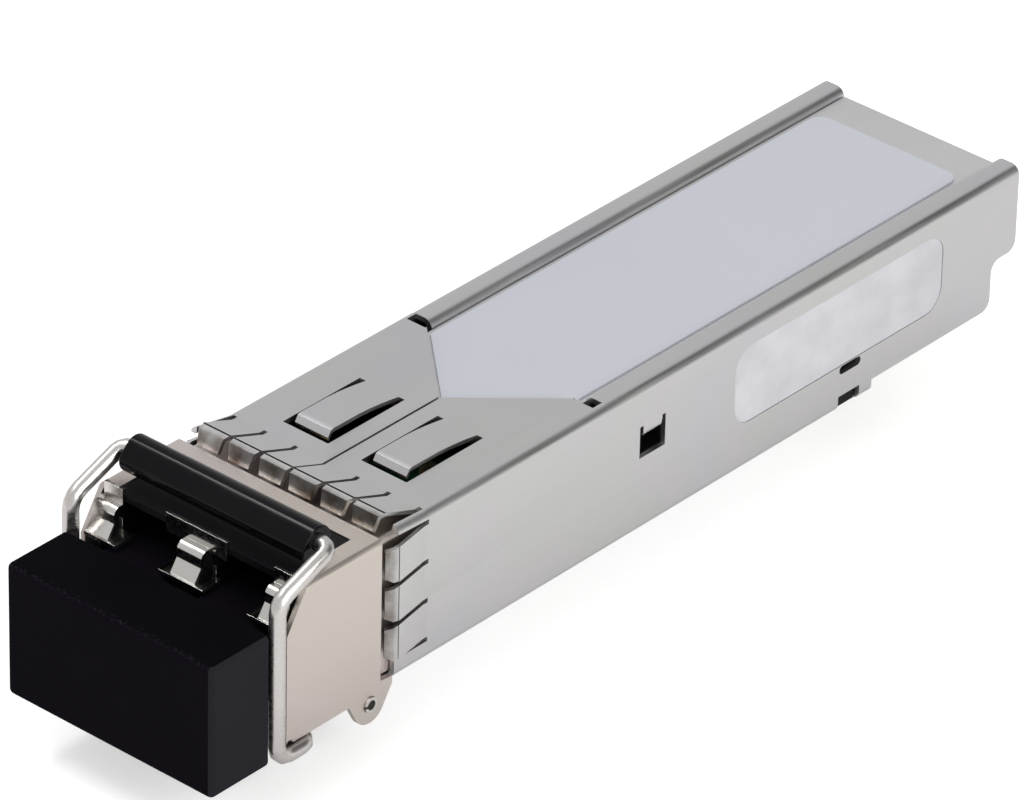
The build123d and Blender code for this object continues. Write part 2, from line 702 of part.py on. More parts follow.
def pivot_rib():
    """Right-hand rib under the housing, with the blind hole of the bail's pivot."""
    centre = y_at(PIVOT_FROM_REAR)
    figure = rect(centre - RIB_HALF_LENGTH, centre + RIB_HALF_LENGTH, -0.2, NOSE_BOTTOM + FIT_GAP + 0.1)
    figure += Pos(centre, ARM_Z) * Circle(RIB_DEPTH - 0.3)
    figure = make_hull(figure.edges())
    rib = along_x(figure, RIB_X - RIB_HALF_WIDTH, RIB_X + RIB_HALF_WIDTH)
    hole = along_x(Pos(centre, ARM_Z) * Circle(WIRE_RADIUS + PIVOT_FIT), PIVOT_INNER_X - 0.1, HALF_BODY)
    return rib - hole


def ground_clip():
    """Folded earth clip: plate under the roof, front lips, three curved arms with feet."""
    half = HOUSING_HALF - FIT_GAP
    clip = block(-half, half, ROOF_FRONT, NOSE_FRONT - KEY_DEPTH + FIT_GAP, KEY_TOP, KEY_TOP + CLIP_SHEET)
    arm_half = CLIP_ARM_WIDTH / 2
    top = ROOF_TOP + LIP_RISE
    lips = rect(-KEY_WIDTH / 2, KEY_WIDTH / 2 - CLIP_SHEET, KEY_TOP, top)
    lips += rect(SIDE_ARM_X - arm_half, half - CLIP_SHEET, KEY_TOP, top)
    lips += rect(CLIP_SHEET - half, arm_half - SIDE_ARM_X, KEY_TOP, top)
    clip += along_y(lips, ROOF_FRONT + CLIP_SHEET, ROOF_FRONT)
    for x in (-SIDE_ARM_X, 0, SIDE_ARM_X):
        clip += clip_arm(x)
    for x in spring_bar_places():
        end = ROOF_FRONT - SPRING_BAR_LENGTH
        clip += block(x - CLIP_SHEET, x, ROOF_FRONT, end, SPRING_BAR_LOW, SPRING_BAR_HIGH)
        clip += block(x - CLIP_SHEET, x, end + SPRING_BAR_NECK, end, SPRING_BAR_LOW, KEY_TOP + CLIP_SHEET)
    return clip


def clip_arm(x):
    """One arm: curves forward and down from the lip to a flat foot on the housing."""
    back = y_at(ROOF_FRONT + CLIP_SHEET)
    middle = KEY_TOP + CLIP_SHEET / 2
    foot = SHELF_Z + CLIP_SHEET / 2 + 0.02
    points = [
        (back + CLIP_SHEET / 2, middle),
        (back - CLIP_ARM_REACH / 2, middle),
        (back - CLIP_ARM_REACH / 2, (middle + foot) / 2),
        (back - CLIP_ARM_REACH, foot),
    ]
    half = CLIP_ARM_WIDTH / 2
    limit = HOUSING_HALF - FIT_GAP
    arm = along_x(strip(points, CLIP_SHEET, CLIP_BEND), max(x - half, -limit), min(x + half, limit))
    foot_front = NOSE_FRONT + FOOT_STICKOUT
    plate = block(max(x - FOOT_WIDTH / 2, -limit), min(x + FOOT_WIDTH / 2, limit), foot_front,
                  foot_front - FOOT_LENGTH, foot - CLIP_SHEET / 2, foot + CLIP_SHEET / 2)
    return arm + plate


def wire_points(path):
    """Points along a path of straight lines and arcs, each arc cut in short even lengths."""
    points = [path @ 0]
    for edge in path.edges():
        steps = 1 if edge.geom_type == GeomType.LINE else BEND_STEPS
        points += [edge @ (step / steps) for step in range(1, steps + 1)]
    return points


def bail_wire():
    """Round wire bail: turned-in pivots, lower arms, legs, slanted tops and crossbar."""
    pivot = y_at(PIVOT_FROM_REAR)
    leg = y_at(LEG_FROM_REAR)
    cross = y_at(CROSSBAR_FROM_REAR)
    right = [
        (PIVOT_INNER_X, pivot, ARM_Z),
        (LEG_X, pivot, ARM_Z),
        (LEG_X, leg, ARM_Z),
        (LEG_X, leg, LEG_TOP_Z),
        (LEG_X, cross, CROSSBAR_Z),
    ]
    left = [(-x, y, z) for x, y, z in reversed(right)]
    bends = [PIVOT_BEND, FOOT_BEND, SHOULDER_BEND, CROSSBAR_BEND]
    path = Polyline(*wire_points(FilletPolyline(*right, *left, radius=bends + bends[::-1])))
    section = Plane(origin=path @ 0, z_dir=path % 0) * Circle(WIRE_RADIUS)
    return sweep(section, path=path, transition=Transition.RIGHT)


def bail_sleeve():
    """Moulded grip sleeve around the crossbar, two-lobed in section."""
    front_lobe = Pos(-SLEEVE_LOBE, -SLEEVE_LOBE / 2) * Circle(SLEEVE_RADIUS - 0.15)
    section = make_hull((Circle(SLEEVE_RADIUS) + front_lobe).edges()) - Circle(WIRE_RADIUS)
    section = Pos(y_at(CROSSBAR_FROM_REAR), CROSSBAR_Z) * section
    return along_x(section, -SLEEVE_HALF_LENGTH, SLEEVE_HALF_LENGTH)


def latch_lever():
    """Rocking latch: hub, nose arm, rear arm and wedge-shaped boss."""
    pin = y_at(PIN_FROM_REAR)
    front = y_at(LATCH_FROM_REAR)
    rear = front + BOSS_LENGTH
    top = LEVER_TOP
    arm = rect(pin, rear, top - LEVER_SHEET, top)
    arm += rect(pin - LEVER_NOSE, pin, PIN_Z - LEVER_SHEET / 2, PIN_Z + LEVER_SHEET / 2)
    lever = along_x(arm, -LEVER_HALF_WIDTH, LEVER_HALF_WIDTH)
    lever += along_x(Pos(pin, PIN_Z) * Circle(HUB_RADIUS), -LEVER_HALF_WIDTH, LEVER_HALF_WIDTH)
    boss = outline([
        (front, top - LEVER_SHEET),
        (front, -BOSS_DEPTH),
        (front + 1.6, -BOSS_DEPTH),
        (rear, top - LEVER_SHEET),
    ])
    lever += along_x(boss, -BOSS_HALF_WIDTH, BOSS_HALF_WIDTH)
    return lever - along_x(Pos(pin, PIN_Z) * Circle(PIN_RADIUS + PIN_FIT), -3, 3)


def latch_pin():
    """Rolled spring pin, slit along its length, through both lugs and the lever's hub."""
    reach = NOSE_WIDTH / 2 + PIN_STICKOUT
    section = Circle(PIN_RADIUS) - Circle(PIN_RADIUS - PIN_WALL)
    section -= rect(-PIN_RADIUS, 0, -PIN_SLIT / 2, PIN_SLIT / 2)
    return along_x(Pos(y_at(PIN_FROM_REAR), PIN_Z) * section, -reach, reach)


def latch_spring():
    """Arched leaf spring between the lever and the housing's rear plate."""
    centre = y_at(LATCH_FROM_REAR + 0.4)
    half = SPRING_LENGTH / 2
    low = LEVER_TOP + 0.02 + SPRING_SHEET / 2
    high = TONGUE_PLATE_Z - 0.02 - SPRING_SHEET / 2
    points = [
        (centre - half, low),
        (centre - half * 0.35, high),
        (centre + half * 0.35, high),
        (centre + half, low),
    ]
    return along_x(strip(points, SPRING_SHEET, 0.3), -SPRING_HALF_WIDTH, SPRING_HALF_WIDTH)


def barrel(x):
    """Turned ferrule barrel with its collar and neck, bored for the fibre ferrule."""
    tip = COLLAR_FRONT + BARREL_REACH + PORT_BACK
    part = round_bar(BARREL_RADIUS, tip, COLLAR_FRONT, x, PORT_Z)
    part += round_bar(COLLAR_RADIUS, COLLAR_FRONT, NECK_FRONT, x, PORT_Z)
    part += round_bar(NECK_RADIUS, NECK_FRONT, CAN_FRONT, x, PORT_Z)
    edge = part.edges().filter_by(GeomType.CIRCLE).sort_by(Axis.Y)[0]
    part = chamfer(edge, 0.2)
    return part - round_bar(FERRULE_RADIUS, tip + 1, tip - FERRULE_DEPTH, x, PORT_Z)


def can(x):
    """Stepped metal can of the laser or the photodiode, on its header disc."""
    part = round_bar(CAN_RADIUS, CAN_FRONT, HEADER_FRONT, x, PORT_Z)
    part += round_bar(HEADER_RADIUS, HEADER_FRONT, HEADER_REAR, x, PORT_Z)
    return part


def flex(x):
    """Flexible strip from a header disc down to the board's top face."""
    header = y_at(HEADER_REAR) + FLEX_SHEET / 2 + FLEX_GAP
    lay = BOARD_TOP + FLEX_SHEET / 2 + FLEX_GAP
    points = [
        (header, PORT_Z + FLEX_RISE),
        (header, lay),
        (y_at(BOARD_FRONT) + FLEX_PAD, lay),
    ]
    return along_x(strip(points, FLEX_SHEET, FLEX_BEND), x - FLEX_WIDTH / 2, x + FLEX_WIDTH / 2)


def osa_clamp():
    """Saddle plate that holds both collars against the housing's back wall."""
    low = SHEET + CARRIER_FLOOR + CLAMP_CLEARANCE
    half = FLANGE_INNER - CLAMP_CLEARANCE
    plate = rect(-half, half, low, CLAMP_TOP)
    for x in (-PORT_PITCH / 2, PORT_PITCH / 2):
        plate -= Pos(x, PORT_Z) * Circle(NECK_RADIUS + FIT_GAP)
        plate -= rect(x - NECK_RADIUS - FIT_GAP, x + NECK_RADIUS + FIT_GAP, PORT_Z, BODY_HEIGHT)
    notch = TONGUE_PLATE_HALF + CLAMP_CLEARANCE
    plate -= rect(-notch, notch, 0, TONGUE_PLATE_Z + TONGUE_PLATE + CLAMP_CLEARANCE)
    return along_y(plate, NECK_FRONT, NECK_FRONT - CLAMP_SHEET)


def circuit_board():
    """Circuit board: full width in the carrier, narrower at the contact edge."""
    half = INNER_HALF - FIT_GAP - CARRIER_WALL - 0.1
    edge_half = EDGE_WIDTH / 2
    shoulder = y_at(BOARD_INSET + EDGE_LENGTH)
    end = y_at(BOARD_INSET)
    plan = outline([
        (-half, y_at(BOARD_FRONT)),
        (half, y_at(BOARD_FRONT)),
        (half, shoulder),
        (edge_half, shoulder),
        (edge_half, end - 0.4),
        (edge_half - 0.4, end),
        (0.4 - edge_half, end),
        (-edge_half, end - 0.4),
        (-edge_half, shoulder),
        (-half, shoulder),
    ])
    return along_z(plan, BOARD_UNDERSIDE, BOARD_TOP)


def edge_contacts():
    """Gold contact pads on both faces of the board's rear edge."""
    pads = []
    rear = BOARD_INSET + CONTACT_INSET
    for index in range(CONTACT_COUNT):
        x = (index - (CONTACT_COUNT - 1) / 2) * CONTACT_PITCH
        for low in (BOARD_TOP, BOARD_UNDERSIDE - CONTACT_SHEET):
            pads.append(block(x - CONTACT_WIDTH / 2, x + CONTACT_WIDTH / 2, rear + CONTACT_LENGTH, rear,
                              low, low + CONTACT_SHEET))
    return pads


def chip(x, setback, size, height):
    """Square chip package on top of the board, with softened top edges."""
    middle = BOARD_FRONT - setback
    half = size / 2
    body = block(x - half, x + half, middle + half, middle - half, BOARD_TOP, BOARD_TOP + height)
    return chamfer(body.faces().sort_by(Axis.Z)[-1].edges(), CHIP_CHAMFER)


def memory_chip():
    """Small package with gull-wing legs on the underside of the board."""
    middle = BOARD_FRONT - MEMORY_SETBACK
    top = BOARD_UNDERSIDE - MEMORY_LIFT
    half = MEMORY_WIDTH / 2
    package = block(-half, half, middle + MEMORY_LENGTH / 2, middle - MEMORY_LENGTH / 2,
                    top - MEMORY_HEIGHT, top)
    sheet = MEMORY_LEG_SHEET
    low = top - MEMORY_HEIGHT * 0.6
    knee = half + 3 * sheet
    foot = BOARD_UNDERSIDE - 0.02
    end = knee + 5 * sheet
    leg = outline([
        (half - sheet, low), (knee + sheet, low), (knee + sheet, foot - sheet), (end, foot - sheet),
        (end, foot), (knee, foot), (knee, low + sheet), (half - sheet, low + sheet),
    ])
    for index in range(MEMORY_LEGS):
        centre = middle + (index - (MEMORY_LEGS - 1) / 2) * MEMORY_PITCH
        wing = along_y(leg, centre + MEMORY_LEG_WIDTH / 2, centre - MEMORY_LEG_WIDTH / 2)
        for piece in both_sides(wing):
            package += piece
    return package


def chip_capacitors():
    """Small ceramic capacitors beside and behind the chips."""
    half_width = CAPACITOR_WIDTH / 2
    half_length = CAPACITOR_LENGTH / 2
    between = (DRIVER_SETBACK + CONTROLLER_SETBACK) / 2
    behind = CONTROLLER_SETBACK + CONTROLLER_SIZE
    places = [
        (CAPACITOR_INNER_X, CAPACITOR_SETBACK), (CAPACITOR_X, CAPACITOR_SETBACK), (CAPACITOR_X, between),
        (CAPACITOR_INNER_X, behind), (CAPACITOR_X, behind),
    ]
    parts = []
    for x, setback in places:
        middle = BOARD_FRONT - setback
        body = block(x - half_width, x + half_width, middle + half_length, middle - half_length,
                     BOARD_TOP, BOARD_TOP + CAPACITOR_WIDTH)
        parts += both_sides(body)
    return parts


def board_carrier():
    """Moulded carrier: floor, side walls, board ledges and posts up to the cover."""
    half = INNER_HALF - FIT_GAP
    inner = half - CARRIER_WALL
    low = SHEET + FIT_GAP
    floor_top = low + CARRIER_FLOOR
    section = outline([
        (-half, low), (half, low), (half, CARRIER_TOP), (inner, CARRIER_TOP),
        (inner, BOARD_UNDERSIDE), (LEDGE_X, BOARD_UNDERSIDE), (LEDGE_X, floor_top),
        (-LEDGE_X, floor_top), (-LEDGE_X, BOARD_UNDERSIDE), (-inner, BOARD_UNDERSIDE),
        (-inner, CARRIER_TOP), (-half, CARRIER_TOP),
    ])
    carrier = along_y(section, CARRIER_FRONT, CARRIER_REAR)
    floor_end = LATCH_FROM_REAR - BOSS_LENGTH - 0.9
    carrier -= block(-LEDGE_X - 1.1, LEDGE_X + 1.1, CARRIER_FRONT + 1, floor_end, 0, BOARD_UNDERSIDE + 0.1)
    carrier -= block(-half - 1, half + 1, BOTTOM_OPENING + 0.1, 0, 0, REAR_SKIRT_Z)
    carrier -= block(-LEDGE_X, LEDGE_X, BOTTOM_OPENING + 0.1, 0, 0, BOARD_UNDERSIDE)
    for from_rear in (POST_FRONT, POST_REAR):
        post = block(inner - POST_DEPTH, inner + 0.1, from_rear + POST_LENGTH / 2,
                     from_rear - POST_LENGTH / 2, BOARD_TOP, COVER_UNDER)
        post &= block(0, COVER_HALF_WIDTH, CARRIER_FRONT, 0, 0, BODY_HEIGHT) + block(
            0, half, CARRIER_FRONT, 0, 0, CARRIER_TOP)
        for piece in both_sides(post):
            carrier += piece
    pocket = block(half - SNAP_TAB_LEAN - SNAP_CLEARANCE, half + 0.1, SNAP_FROM_REAR + SNAP_LENGTH / 2,
                   SNAP_FROM_REAR - SNAP_LENGTH / 2, SNAP_Z - SNAP_HEIGHT / 2,
                   SNAP_Z + SNAP_HEIGHT / 2 + SNAP_CLEARANCE)
    for piece in both_sides(pocket):
        carrier -= piece
    return carrier


def dust_plug():
    """Soft duplex plug: rounded block in front, two square prongs in the ports."""
    front = PLUG_REAR + PLUG_LENGTH
    body = block(-NOSE_WIDTH / 2, NOSE_WIDTH / 2, front, PLUG_REAR, PLUG_LOW, PLUG_HIGH)
    body = fillet(body.edges().filter_by(Axis.Y), PLUG_EDGE)
    body = chamfer(body.faces().sort_by(Axis.Y)[0].edges(), PLUG_FRONT_EDGE)
    for x in (-PORT_PITCH / 2, PORT_PITCH / 2):
        square = Rectangle(PRONG_SIZE, PRONG_SIZE)
        section = Pos(x, PORT_Z) * chamfer(square.vertices(), PLUG_EDGE)
        prong = along_y(section, PLUG_REAR + PLUG_EDGE, PLUG_REAR - PRONG_REACH)
        prong -= round_bar(PRONG_BORE, PLUG_REAR - 0.4, PLUG_REAR - PRONG_REACH - 1, x, PORT_Z)
        body += prong
    return body


def save(name, shape):
    """Writes one node, a single solid or a group of separate solids."""
    if isinstance(shape, (list, tuple)):
        shape = Compound(children=list(shape))
    export_step(shape, f"parts/{name}.step")


save("outer_shell", outer_shell())
save("inner_cover", inner_cover())
save("top_label", top_label())
save("side_labels", side_label())
save("nose_shield", nose_shield())
save("receptacle", receptacle())
save("ground_clip", ground_clip())
save("bail_wire", bail_wire())
save("bail_sleeve", bail_sleeve())
save("latch_lever", latch_lever())
save("latch_pin", latch_pin())
save("latch_spring", latch_spring())
save("transmit_barrel", barrel(-PORT_PITCH / 2))
save("receive_barrel", barrel(PORT_PITCH / 2))
save("laser_can", can(-PORT_PITCH / 2))
save("photodiode_can", can(PORT_PITCH / 2))
save("laser_flex", flex(-PORT_PITCH / 2))
save("photodiode_flex", flex(PORT_PITCH / 2))
save("barrel_clamp", osa_clamp())
save("circuit_board", circuit_board())
save("edge_contacts", edge_contacts())
save("driver_chip", chip(-DRIVER_X, DRIVER_SETBACK, DRIVER_SIZE, DRIVER_HEIGHT))
save("amplifier_chip", chip(DRIVER_X, DRIVER_SETBACK, DRIVER_SIZE, DRIVER_HEIGHT))
save("controller_chip", chip(0, CONTROLLER_SETBACK, CONTROLLER_SIZE, CONTROLLER_HEIGHT))
save("memory_chip", memory_chip())
save("chip_capacitors", chip_capacitors())
save("board_carrier", board_carrier())
save("dust_plug", dust_plug())
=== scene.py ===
import math

import bmesh
import bpy
from mathutils import Matrix, Vector


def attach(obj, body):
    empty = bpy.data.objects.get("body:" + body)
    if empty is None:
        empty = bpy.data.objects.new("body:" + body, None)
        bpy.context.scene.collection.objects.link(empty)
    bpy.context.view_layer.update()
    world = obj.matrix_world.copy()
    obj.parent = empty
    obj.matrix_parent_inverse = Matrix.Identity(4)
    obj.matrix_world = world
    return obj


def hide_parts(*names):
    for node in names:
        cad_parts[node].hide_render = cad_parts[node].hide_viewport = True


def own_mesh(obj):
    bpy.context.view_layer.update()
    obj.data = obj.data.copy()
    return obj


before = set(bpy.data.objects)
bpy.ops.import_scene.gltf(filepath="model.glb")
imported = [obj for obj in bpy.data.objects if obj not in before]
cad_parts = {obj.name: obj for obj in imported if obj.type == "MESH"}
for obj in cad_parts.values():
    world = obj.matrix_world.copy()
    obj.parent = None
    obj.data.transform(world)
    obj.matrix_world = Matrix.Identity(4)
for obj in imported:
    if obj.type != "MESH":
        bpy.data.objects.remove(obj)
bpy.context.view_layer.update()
MM = 0.001


# Outer shell: one folded sheet of thin nickel-plated steel, pressed flat along its
# rolling direction, with sprung fingers and tongues cut from it. Satin plating.
SHELL_COLOURS = ((0.585, 0.58, 0.60), (0.60, 0.59, 0.595), (0.59, 0.595, 0.585))
SHELL_ROUGHNESS = 0.34
SHELL_GRAIN = 0.4
SHEET_EDGE = 0.05 * MM
SHELL_TOP_FROM = 8.2 * MM

TONGUE_ACROSS = (1.4 * MM, 3.8 * MM)
TONGUE_ALONG = (-16.4 * MM, -10.9 * MM)
TONGUE_CUTS = (-11.6 * MM, -12.3 * MM, -13.0 * MM, -13.8 * MM)
TONGUE_ROOT = -10.925 * MM
TONGUE_RAMP = 3.9 * MM
TONGUE_BOW = 0.09 * MM
TONGUE_CREST_FROM = -14.3 * MM
TONGUE_CREST_ON = 0.85 * MM
TONGUE_LIP_FROM = -16.0 * MM
TONGUE_LIP_BACK = 0.2 * MM
TONGUE_LIP_LIFT = 0.12 * MM

SLOT_ALONG = (-16.7 * MM, -10.8 * MM)
SLOT_OUTSIDE = (1.15 * MM, 4.05 * MM)
SLOT_INSIDE = (1.3 * MM, 3.9 * MM)
SLOT_SIDES_PART = 3.0 * MM
SLOT_WIDER = 0.13 * MM

FINGER_CRESTS = ((-20.45 * MM, -20.25 * MM), (-20.1 * MM, -19.95 * MM))
FINGER_CREST_ON = 0.25 * MM

# Painted shade on the finger tips: a warm brown patchy tint where they turn down.
TIP_SHADE_COLOUR = (0.13, 0.095, 0.07)
TIP_SHADE_START = -20.15 * MM
TIP_SHADE_FULL = -20.85 * MM
TIP_SHADE_LEAST = 0.1

# Noise scales are features per metre, on the piece's own coordinates.
SHEET_CLOUDS = 110
SHEET_LINES = 5200
SHEET_PITS = 6500
TIP_SHADE_PATCHES = 900
LINE_STRETCH = (1, 0.03, 1)
LINE_SHARE = 0.6
GRAIN_DEPTH = 0.004 * MM
NOISE_LOW = 0.3
NOISE_HIGH = 0.7
TINT_STOPS = (0.36, 0.5, 0.64)
GLOSSIER = 0.05
DULLER = 0.06

# A Mix node has several sockets of one name. These are the places of its colour ones.
MIX_UNDER = 6
MIX_OVER = 7
MIX_RESULT = 2

WELD_GAP = 0.002 * MM
FLAT_ANGLE = math.radians(0.6)
SHARP_ANGLE = math.radians(34)


def group_with(name, inputs, outputs):
    """An empty shader node group with named sockets, and its input and output nodes."""
    group = bpy.data.node_groups.new(name, "ShaderNodeTree")
    for way, sockets in (("INPUT", inputs), ("OUTPUT", outputs)):
        for label, kind in sockets.items():
            group.interface.new_socket(label, in_out=way, socket_type="NodeSocket" + kind)
    return group, group.nodes.new("NodeGroupInput"), group.nodes.new("NodeGroupOutput")


def feed(tree, value, socket):
    """Links a node's output into a socket, or sets the socket to a plain value."""
    if isinstance(value, bpy.types.NodeSocket):
        tree.links.new(value, socket)
    else:
        socket.default_value = value


def reckon(tree, operation, *values):
    """One sum on numbers or on other nodes' outputs."""
    node = tree.nodes.new("ShaderNodeMath")
    node.operation = operation
    for value, socket in zip(values, node.inputs):
        feed(tree, value, socket)
    return node.outputs["Value"]


def rise(tree, value, start, end, low=0.0, high=1.0, smooth=False):
    """Goes from low to high while the value goes from start to end."""
    node = tree.nodes.new("ShaderNodeMapRange")
    node.interpolation_type = "SMOOTHSTEP" if smooth else "LINEAR"
    given = {"Value": value, "From Min": start, "From Max": end, "To Min": low, "To Max": high}
    for label, amount in given.items():
        feed(tree, amount, node.inputs[label])
    return node.outputs["Result"]


def span(tree, value, low, high):
    """Spreads the usual range of noise between two limits."""
    return rise(tree, value, NOISE_LOW, NOISE_HIGH, low, high)


def noise(tree, vector, scale, detail, stretch=(1, 1, 1)):
    """Noise on given coordinates, stretched along an axis where wanted."""
    mapping = tree.nodes.new("ShaderNodeMapping")
    mapping.inputs["Scale"].default_value = stretch
    texture = tree.nodes.new("ShaderNodeTexNoise")
    feed(tree, scale, texture.inputs["Scale"])
    texture.inputs["Detail"].default_value = detail
    tree.links.new(vector, mapping.inputs["Vector"])
    tree.links.new(mapping.outputs["Vector"], texture.inputs["Vector"])
    return texture.outputs["Fac"]


def ramp(tree, value, stops):
    """Colour ramp through (place, colour) stops."""
    node = tree.nodes.new("ShaderNodeValToRGB")
    while len(node.color_ramp.elements) < len(stops):
        node.color_ramp.elements.new(0.5)
    for element, (place, colour) in zip(node.color_ramp.elements, stops):
        element.position = place
        element.color = (*colour, 1)
    tree.links.new(value, node.inputs["Fac"])
    return node.outputs["Color"]


def own_place(tree):
    """The piece's own coordinates."""
    return tree.nodes.new("ShaderNodeTexCoord").outputs["Object"]


def own_axis(tree, axis):
    """One of the piece's own coordinates."""
    parts = tree.nodes.new("ShaderNodeSeparateXYZ")
    tree.links.new(own_place(tree), parts.inputs["Vector"])
    return parts.outputs[axis]


def bare_material(name):
    """A new node material with its tree and its shader."""
    material = bpy.data.materials.new(name)
    material.use_nodes = True
    return material, material.node_tree, material.node_tree.nodes["Principled BSDF"]


def tint_where(material, mask, colour):
    """Lays a second colour over a finish where a mask is high."""
    tree = material.node_tree
    base = tree.nodes["Principled BSDF"].inputs["Base Color"]
    blend = tree.nodes.new("ShaderNodeMix")
    blend.data_type = "RGBA"
    blend.inputs[MIX_OVER].default_value = (*colour, 1)
    tree.links.new(mask, blend.inputs["Factor"])
    tree.links.new(base.links[0].from_socket, blend.inputs[MIX_UNDER])
    tree.links.new(blend.outputs[MIX_RESULT], base)


def rolled_sheet_group():
    """Rolling lines along the length, fine pitting and soft cloudy patches."""
    group, given, out = group_with(
        "rolled_sheet",
        {"Vector": "Vector", "Height": "Float"},
        {"Clouds": "Float", "Lines": "Float", "Normal": "Vector"})
    vector = given.outputs["Vector"]
    lines = noise(group, vector, SHEET_LINES, 3, LINE_STRETCH)
    pits = noise(group, vector, SHEET_PITS, 2)
    bump = group.nodes.new("ShaderNodeBump")
    bump.inputs["Distance"].default_value = GRAIN_DEPTH
    group.links.new(given.outputs["Height"], bump.inputs["Strength"])
    group.links.new(reckon(group, "MULTIPLY_ADD", lines, LINE_SHARE, pits), bump.inputs["Height"])
    group.links.new(noise(group, vector, SHEET_CLOUDS, 2), out.inputs["Clouds"])
    group.links.new(lines, out.inputs["Lines"])
    group.links.new(bump.outputs["Normal"], out.inputs["Normal"])
    return group


ROLLED_SHEET = rolled_sheet_group()


def plated_metal(name, colours, roughness, grain):
    """Plated metal: three cloudy tints, rolling lines in its gloss and a faint grain."""
    material, tree, shader = bare_material(name)
    sheet = tree.nodes.new("ShaderNodeGroup")
    sheet.node_tree = ROLLED_SHEET
    sheet.inputs["Height"].default_value = grain
    tree.links.new(own_place(tree), sheet.inputs["Vector"])
    tint = ramp(tree, sheet.outputs["Clouds"], list(zip(TINT_STOPS, colours)))
    gloss = span(tree, sheet.outputs["Lines"], roughness - GLOSSIER, roughness + DULLER)
    tree.links.new(tint, shader.inputs["Base Color"])
    tree.links.new(gloss, shader.inputs["Roughness"])
    tree.links.new(sheet.outputs["Normal"], shader.inputs["Normal"])
    shader.inputs["Metallic"].default_value = 1.0
    return material


def paint_tip_shade(material):
    """Painted shade: a warm brown patchy tint on the bent finger tips, where they turn down to the
    nose flange.
    """
    tree = material.node_tree
    near = rise(tree, own_axis(tree, "Y"), TIP_SHADE_START, TIP_SHADE_FULL, smooth=True)
    patches = span(tree, noise(tree, own_place(tree), TIP_SHADE_PATCHES, 3), TIP_SHADE_LEAST, 1.0)
    tint_where(material, reckon(tree, "MULTIPLY", near, patches), TIP_SHADE_COLOUR)


def edged_copy(name, node, edge, material, body="module", segments=2):
    """A welded copy of a CAD node whose sharp edges are rounded by a real bevel."""
    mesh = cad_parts[node].data.copy()
    mesh.name = name
    work = bmesh.new()
    work.from_mesh(mesh)
    bmesh.ops.remove_doubles(work, verts=work.verts, dist=WELD_GAP)
    bmesh.ops.dissolve_limit(work, angle_limit=FLAT_ANGLE, verts=work.verts, edges=work.edges)
    work.to_mesh(mesh)
    work.free()
    if "custom_normal" in mesh.attributes:
        mesh.attributes.remove(mesh.attributes["custom_normal"])
    mesh.materials.clear()
    mesh.materials.append(material)
    mesh.shade_smooth()
    piece = bpy.data.objects.new(name, mesh)
    bpy.context.scene.collection.objects.link(piece)
    bevel = piece.modifiers.new("edge", "BEVEL")
    bevel.width = edge
    bevel.segments = segments
    bevel.limit_method = "ANGLE"
    bevel.angle_limit = SHARP_ANGLE
    bevel.harden_normals = True
    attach(piece, body)
    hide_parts(node)
    return piece


def within(value, limits):
    """Whether a value lies between two limits."""
    return limits[0] < value < limits[1]


def tongue_faces(work):
    """Faces of the two arched tongues in the shell's top."""
    def inside(vertex):
        x, y, z = vertex.co
        return within(abs(x), TONGUE_ACROSS) and within(y, TONGUE_ALONG) and z > SHELL_TOP_FROM
    return [face for face in work.faces if all(inside(vertex) for vertex in face.verts)]


def curl_tongues(mesh):
    """Bows each tongue's ramp, carries its crest forward and widens the slots beside it."""
    work = bmesh.new()
    work.from_mesh(mesh)
    for cut in TONGUE_CUTS:
        faces = tongue_faces(work)
        edges = {edge for face in faces for edge in face.edges}
        corners = {vertex for face in faces for vertex in face.verts}
        bmesh.ops.bisect_plane(
            work, geom=[*faces, *edges, *corners], plane_co=(0, cut, 0), plane_no=(0, 1, 0))
    for vertex in {vertex for face in tongue_faces(work) for vertex in face.verts}:
        y = vertex.co.y
        if y < TONGUE_LIP_FROM:
            vertex.co.y += TONGUE_LIP_BACK
            vertex.co.z += TONGUE_LIP_LIFT
        elif y < TONGUE_CREST_FROM:
            vertex.co.y -= TONGUE_CREST_ON
        else:
            vertex.co.z += TONGUE_BOW * math.sin(math.pi * (TONGUE_ROOT - y) / TONGUE_RAMP)
    for vertex in work.verts:
        x, y, z = vertex.co
        on_slot = within(abs(x), SLOT_OUTSIDE) and not within(abs(x), SLOT_INSIDE)
        if on_slot and within(y, SLOT_ALONG) and z > SHELL_TOP_FROM:
            outward = math.copysign(SLOT_WIDER, x)
            vertex.co.x += outward if abs(x) > SLOT_SIDES_PART else -outward
    work.to_mesh(mesh)
    work.free()


def crest_fingers(mesh):
    """Carries the sprung fingers' crests forward, so their tips turn down more steeply."""
    for vertex in mesh.vertices:
        if any(within(vertex.co.y, band) for band in FINGER_CRESTS):
            vertex.co.y -= FINGER_CREST_ON


nickel = plated_metal("satin_nickel", SHELL_COLOURS, SHELL_ROUGHNESS, SHELL_GRAIN)
# Painted shade on the finger tips.
paint_tip_shade(nickel)
shell = edged_copy("shell_sheet", "outer_shell", SHEET_EDGE, nickel)
curl_tongues(shell.data)
crest_fingers(shell.data)


# Inner cover: a flat sheet of the same steel between the rolled rails. It carries the
# label and shows as a bare strip at the rear and along the label's edges.
COVER_COLOURS = ((0.66, 0.66, 0.67), (0.69, 0.69, 0.69), (0.67, 0.67, 0.67))
COVER_ROUGHNESS = 0.4


def dress(node, material):
    """Gives a carried-over CAD node its finish."""
    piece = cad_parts[node]
    piece.data.materials.clear()
    piece.data.materials.append(material)


dress("inner_cover", plated_metal("cover_nickel", COVER_COLOURS, COVER_ROUGHNESS, SHELL_GRAIN))


